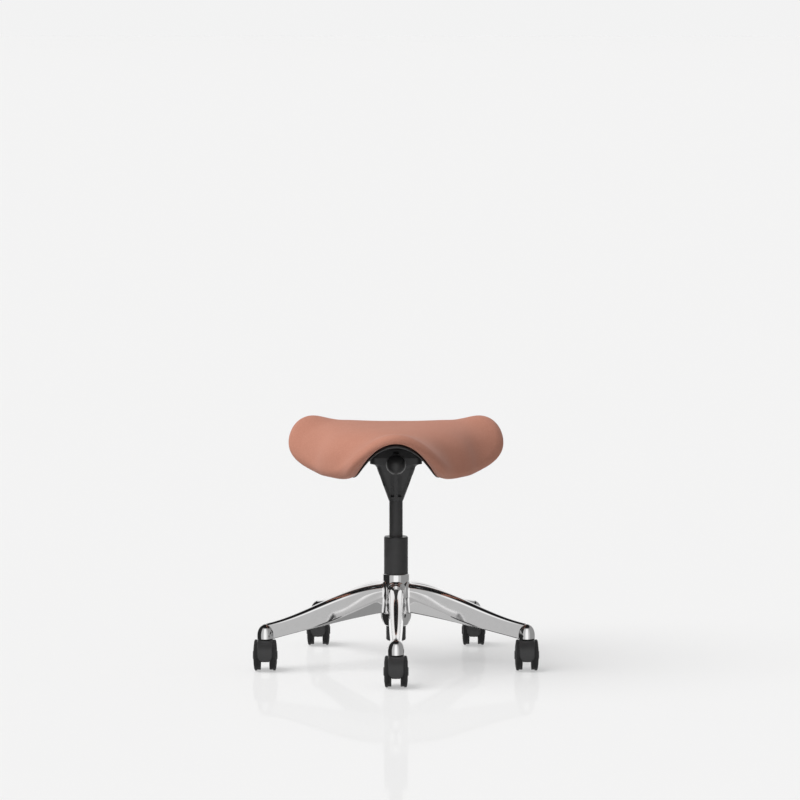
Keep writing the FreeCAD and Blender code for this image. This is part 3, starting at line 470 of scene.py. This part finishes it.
def cushionRows():
    # the profile at each turn is three cubic curves: the crown out to the edge, the
    # quarter round of the edge, and the face in to the rim; a fourth goes back underneath.
    # Lobe is one along the nose and the two rear lobes and nought between them. The crown
    # and the rounding are then eased round the turn, least at the middle and the face
    c = cushion
    turn = np.linspace(0, 2 * math.pi, c["around"], endpoint=False)[None, :]
    lobe = (1 + np.cos(3 * turn)) / 2
    rearward = (1 - np.cos(turn)) / 1.5
    rise = c["rearFlapRise"] * np.maximum(0, 3 * rearward - 3) * (1 - lobe)
    swell = 1 - (1 - lobe ** c["lobeWidth"]) ** c["lobeBluntness"]
    roll = mixed(c["flapRounding"], mixed(c["noseRounding"], c["rearRounding"], rearward), lobe ** 3)
    radius = mixed(c["flapRadius"], c["noseRadius"], swell)
    plump = c["rearPlump"] * lobe ** 2 * smoothStep((rearward - c["plumpFrom"]) / c["plumpFrom"])
    height = c["level"] + mixed(-c["flapDrop"], c["noseRise"], lobe ** c["ridgeSharpness"]) + rise + plump
    lobeRim = mixed(c["rimNoseRadius"], c["rimRearRadius"], rearward)
    rimRadius = mixed(c["rimFlapRadius"], lobeRim, lobe ** c["rimSharpness"])
    lobeDrop = mixed(c["rimNoseDrop"], c["rimRearDrop"], rearward)
    rimDrop = mixed(c["rimFlapDrop"], lobeDrop, lobe ** c["archSharpness"])
    rimHeight = c["level"] - rimDrop + rise
    lean = math.pi / 2 * (1 - lobe ** c["leanSharpness"])
    out, down = np.cos(lean), np.sin(lean)
    steep = smoothStep((down - c["steepFrom"]) / c["steepOver"])
    edgeRadius, edgeHeight = radius - roll * out, height + roll * down
    climb = (c["level"] + c["crownRise"] - edgeHeight) / np.maximum(down, 0.05)
    climb = np.clip(climb, c["leastReach"], c["mostReach"])
    reach = eased((1 - steep) * c["lobeReach"] + steep * climb, c["reachEasing"])

    def stretch(corners, share):
        radial = cubic(*[corner[0] + 0 * turn for corner in corners], share[:, None])
        upright = cubic(*[corner[1] + 0 * turn for corner in corners], share[:, None])
        return np.stack([radial * np.sin(turn), -radial * np.cos(turn), upright], -1)

    crown = stretch((
        (c["flatRadius"], c["level"]),
        (0.5 * radius, c["level"] - c["middleDip"]),
        (edgeRadius - reach * out, edgeHeight + reach * down),
        (edgeRadius, edgeHeight),
    ), np.linspace(0, 1, 56))
    soft = c["roundness"] * roll
    faceRadius, faceHeight = radius - roll * down, height - roll * out
    rounding = stretch((
        (edgeRadius, edgeHeight),
        (radius - soft * out, height + soft * down),
        (radius - soft * down, height - soft * out),
        (faceRadius, faceHeight),
    ), np.linspace(0, 1, 22)[1:])
    far = np.hypot(rimRadius - faceRadius, rimHeight - faceHeight)
    bendRadius = mixed(faceRadius, rimRadius, c["bendShare"]) - down * far * c["bendPull"]
    bendHeight = mixed(faceHeight, rimHeight, c["bendShare"]) - out * far * c["bendPull"]
    face = stretch((
        (faceRadius, faceHeight),
        (faceRadius - down * far * c["facePull"], faceHeight - out * far * c["facePull"]),
        (bendRadius, bendHeight),
        (rimRadius, rimHeight),
    ), np.linspace(0, 1, 20)[1:])
    pull = c["underPull"] * rimRadius
    under = stretch((
        (rimRadius, rimHeight),
        (rimRadius - pull * out, rimHeight + c["underLift"] * pull * down),
        (0.5 * rimRadius, c["level"] - c["thickness"]),
        (c["flatRadius"], c["level"] - c["thickness"]),
    ), np.linspace(0, 1, 22)[1:])
    hold = smoothStep(np.linspace(1, 0, len(rounding)))[:, None, None]
    both = eased(np.vstack([crown, rounding]), c["edgeEasing"])
    rounding = mixed(rounding, both[len(crown):], hold)
    crown = both[:len(crown)]
    along = np.linspace(0, 1, len(crown))[:, None, None]
    softness = smoothStep(along / c["easeFrom"]) * smoothStep((1 - along) / c["easeTo"])
    crown = mixed(crown, eased(crown, c["crownEasing"]), softness)
    middle = crown[:1] * np.array([c["middleShare"], c["middleShare"], 1])
    return np.vstack([middle, crown, rounding, face, under])


def makeCushion():
    piece = gridMesh("cushionCover", cushionRows(), capFirst=True, capLast=True)
    piece.data.materials.append(materials["wool"])
    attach(piece, "seat")
    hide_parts("seat_cushion")
    return piece


makeCushion()
print("cushion made")


# cast base

base = {
    "hubRadius": 0.0285,
    "boreRadius": 0.0252,
    "hubTop": 0.189,
    "skirtRadius": 0.0325,
    "skirtTop": 0.108,
    "skirtBottom": 0.080,
    "armStart": 0.018,
    "armEnd": 0.283,
    "rootTop": 0.170,
    "tipTop": 0.097,
    "bend": math.radians(153),
    "rootBottom": 0.109,
    "tipBottom": 0.062,
    "rootWidth": 0.038,
    "tipWidth": 0.0175,
    "creaseTop": 0.146,
    "undercut": 0.009,
    "wall": 0.0035,
    "fillet": 0.007,
    "socketRadius": 0.0175,
    "socketBottom": 0.065,
    "socketStraight": 0.007,
    "domeHeight": 0.0245,
    "circle": 0.285,
    "arms": 5,
    "crownShare": 0.8,      # the crown's height for each unit of half width
    "filletRise": 0.8,      # how much of the fillet's flare the top follows
    "shoulderInset": 0.0015,
    "lipInset": 0.001,
    "creaseLift": 0.002,
    "ceilingWalls": 1.6,    # the inner ceiling's depth, in walls
    "bottomFall": 1.3,
    "creaseEnd": 0.62,      # share of the arm where the crease has run out
}


def armRows(turn):
    # stations along the arm carry one outline: a round crown, a flat side down to the
    # crease, a drawn-in side to the lower lip, and the hollow back up inside; it widens
    # and rises to the hub in a quarter-round fillet
    b = base
    share = np.concatenate([np.linspace(0, 0.12, 26), np.linspace(0.12, 1, 90)[1:]])[:, None]
    reach = mixed(b["armStart"], b["armEnd"], share)
    near = np.clip(b["fillet"] - (reach - b["hubRadius"]), 0, b["fillet"])
    flare = b["fillet"] - np.sqrt(b["fillet"] ** 2 - near ** 2)
    fall = (1 - np.cos(b["bend"] * share)) / (1 - math.cos(b["bend"]))
    top = mixed(b["rootTop"], b["tipTop"], fall) + b["filletRise"] * flare
    bottom = np.maximum(mixed(b["rootBottom"], b["tipBottom"], share ** b["bottomFall"]), b["socketBottom"])
    half = mixed(b["rootWidth"], b["tipWidth"], share) / 2 + flare
    fade = np.maximum(0, 1 - share / b["creaseEnd"]) ** 1.5
    narrow = half - b["lipInset"] - b["undercut"] * fade
    crease = bottom + b["creaseLift"] + (b["creaseTop"] - b["rootBottom"]) * fade
    shoulderHalf = half - b["shoulderInset"]
    crown = b["crownShare"] * shoulderHalf
    arch = (shoulderHalf ** 2 + crown ** 2) / (2 * crown)
    sweep = np.arcsin(np.clip(shoulderHalf / arch, -1, 1))
    swing = np.linspace(0, 1, 22)[None, :] * sweep
    crownLine = (arch * np.sin(swing), top - arch + arch * np.cos(swing))

    def straight(start, end, count):
        steps = np.linspace(0, 1, count + 1)[None, 1:]
        return mixed(start[0], end[0], steps), mixed(start[1], end[1], steps)

    inner = narrow - b["wall"]
    ceiling = top - b["wall"] * b["ceilingWalls"]
    stretches = [
        crownLine,
        straight((shoulderHalf, top - crown), (half, crease), 12),
        straight((half, crease), (narrow, bottom), 14),
        straight((narrow, bottom), (inner, bottom), 4),
        straight((inner, bottom), (inner, ceiling - 0.3 * crown), 10),
        straight((inner, ceiling - 0.3 * crown), (0 * inner, ceiling), 6),
    ]
    across = np.hstack([part[0] for part in stretches])
    height = np.hstack([part[1] for part in stretches])
    for _ in range(2):      # eases the corners to about a millimetre
        across[:, 1:-1] = (across[:, :-2] + 2 * across[:, 1:-1] + across[:, 2:]) / 4
        height[:, 1:-1] = (height[:, :-2] + 2 * height[:, 1:-1] + height[:, 2:]) / 4
    across = np.hstack([across, -across[:, -2:0:-1]])
    height = np.hstack([height, height[:, -2:0:-1]])
    x = reach * math.cos(turn) - across * math.sin(turn)
    y = reach * math.sin(turn) + across * math.cos(turn)
    return np.stack([x, y, height], -1)


def hubProfile():
    # bore lip, top ring, wall, the skirt that swells below the arms and its turned-in foot
    b = base
    bulge = np.linspace(0, 1, 16)
    skirt = b["skirtRadius"] - 0.006 * bulge ** 2.2
    skirtZ = mixed(b["skirtTop"], b["skirtBottom"] + 0.0015, bulge)
    shoulder = np.linspace(0, math.pi / 2, 8)
    flare = b["skirtRadius"] - b["hubRadius"]
    lip = np.linspace(0, math.pi / 2, 7)
    ease = 0.0014
    points = [(b["boreRadius"], b["hubTop"] - 0.03), (b["boreRadius"], b["hubTop"] - 0.001)]
    lipRadius, lipHeight = b["hubRadius"] - ease, b["hubTop"] - ease
    points += [(lipRadius + ease * math.sin(a), lipHeight + ease * math.cos(a)) for a in lip]
    wall = np.linspace(b["hubTop"] - 0.002, b["skirtTop"] + flare, 12)
    points += [(b["hubRadius"], height) for height in wall]
    flareTop = b["skirtTop"] + flare
    points += [(b["skirtRadius"] - flare * math.cos(a), flareTop - flare * math.sin(a)) for a in shoulder]
    points += list(zip(skirt, skirtZ))
    points += [(b["skirtRadius"] - 0.0075, b["skirtBottom"]), (b["boreRadius"] - 0.0025, b["skirtBottom"])]
    return points


def domeProfile():
    # a straight collar under a half ellipse, with an eased lower lip
    b = base
    swing = np.linspace(0, math.pi / 2, 26)
    start = b["socketBottom"] + b["socketStraight"]
    points = [(0.006, b["socketBottom"]), (b["socketRadius"] - 0.0012, b["socketBottom"]),
              (b["socketRadius"] - 0.0003, b["socketBottom"] + 0.0004),
              (b["socketRadius"], b["socketBottom"] + 0.0014)]
    points += [(b["socketRadius"] * math.cos(a), start + b["domeHeight"] * math.sin(a)) for a in swing[:-1]]
    points += [(0.0002, start + b["domeHeight"])]
    return points


def makeBase():
    pieces = [gridMesh("hubCasting", lathe(hubProfile(), 160), capFirst=False)]
    for k in range(base["arms"]):
        turn = math.radians(-90 + 360 * k / base["arms"])
        centre = (base["circle"] * math.cos(turn), base["circle"] * math.sin(turn))
        pieces.append(gridMesh(f"arm{k + 1}", armRows(turn), capLast=True))
        pieces.append(gridMesh(f"socketDome{k + 1}", lathe(domeProfile(), 72, centre), capLast=True))
    for piece in pieces:
        outwards(piece)
        piece.data.materials.append(materials["aluminium"])
        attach(piece, "base")
    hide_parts("star_base")


makeBase()
print("base made")


# caster hoods

hood = {
    "halfWidth": 0.0165,
    "axleHeight": 0.032,
    "trail": 0.006,
    "outside": 0.0328,
    "skin": 0.0018,
    "bottom": 0.022,
    "rounding": 0.0145,
    "webHalf": 0.0088,
}


def hoodRows(x, y):
    # the skin follows a circle about the axle, and its edge a rounded panel: half the width
    # is the straight part plus a quarter circle's root over the last stretch downwards
    h = hood
    lowest = math.asin((h["axleHeight"] - h["bottom"]) / h["outside"])
    swing = np.linspace(-lowest, math.pi + lowest, 90)
    height = h["axleHeight"] + h["outside"] * np.sin(swing)
    drop = np.clip((h["bottom"] + h["rounding"] - height) / h["rounding"], 0, 0.999)
    half = h["halfWidth"] - h["rounding"] * (1 - np.sqrt(1 - drop ** 2))
    share = np.linspace(-1, 1, 15)
    edge = 1 - 0.25 * np.abs(share) ** 12
    ring = []
    for depth, order in ((0.0, 1), (1.0, -1)):
        radius = h["outside"] - h["skin"] * (depth + (1 - depth) * (1 - edge[::order]))
        across = half[:, None] * share[::order]
        ring.append(np.stack([
            x + across,
            y - h["trail"] - np.cos(swing)[:, None] * radius,
            h["axleHeight"] + np.sin(swing)[:, None] * radius,
        ], -1))
    return np.concatenate(ring, 1)


def webRows(x, y):
    # the plate between the wheels: a disc about the axle, cut level at the hood's foot
    h = hood
    swing = np.linspace(0, 2 * math.pi, 96, endpoint=False)
    radius = h["outside"] - h["skin"] / 2
    along = y - h["trail"] + radius * np.cos(swing)
    height = np.maximum(h["axleHeight"] + radius * np.sin(swing), h["bottom"])
    return np.stack([np.stack([0 * swing + x + side * h["webHalf"], along, height], -1) for side in (-1, 1)])


def makeHoods():
    for k in range(base["arms"]):
        turn = math.radians(-90 + 360 * k / base["arms"])
        x, y = base["circle"] * math.cos(turn), base["circle"] * math.sin(turn)
        panel = gridMesh(f"hoodPanel{k + 1}", hoodRows(x, y), capFirst=True, capLast=True)
        web = gridMesh(f"hoodWeb{k + 1}", webRows(x, y), capFirst=True, capLast=True)
        for piece in (panel, web):
            outwards(piece)
            piece.data.materials.append(materials["plastic"])
            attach(piece, f"caster_{k + 1}")
        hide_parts(f"caster_{k + 1}_hood")


makeHoods()
print("hoods made")


# finishes of the solids that stay

finishes = {
    "outer_tube": "coat", "inner_cylinder": "coat", "guide_bush": "plastic", "seat_support": "casting",
    "seat_pan": "shell", "lever": "steel", "ball_knob": "knob", "valve_button": "steel",
}


def finishOf(name):
    if name in finishes:
        return finishes[name]
    if "wheel" in name:
        return "rubber"
    if "hood" in name:
        return "plastic"
    return "steel"


for name, node in nodes.items():
    node.data.materials.clear()
    node.data.materials.append(materials[finishOf(name)])
print("finishes set on", len(nodes), "solids")
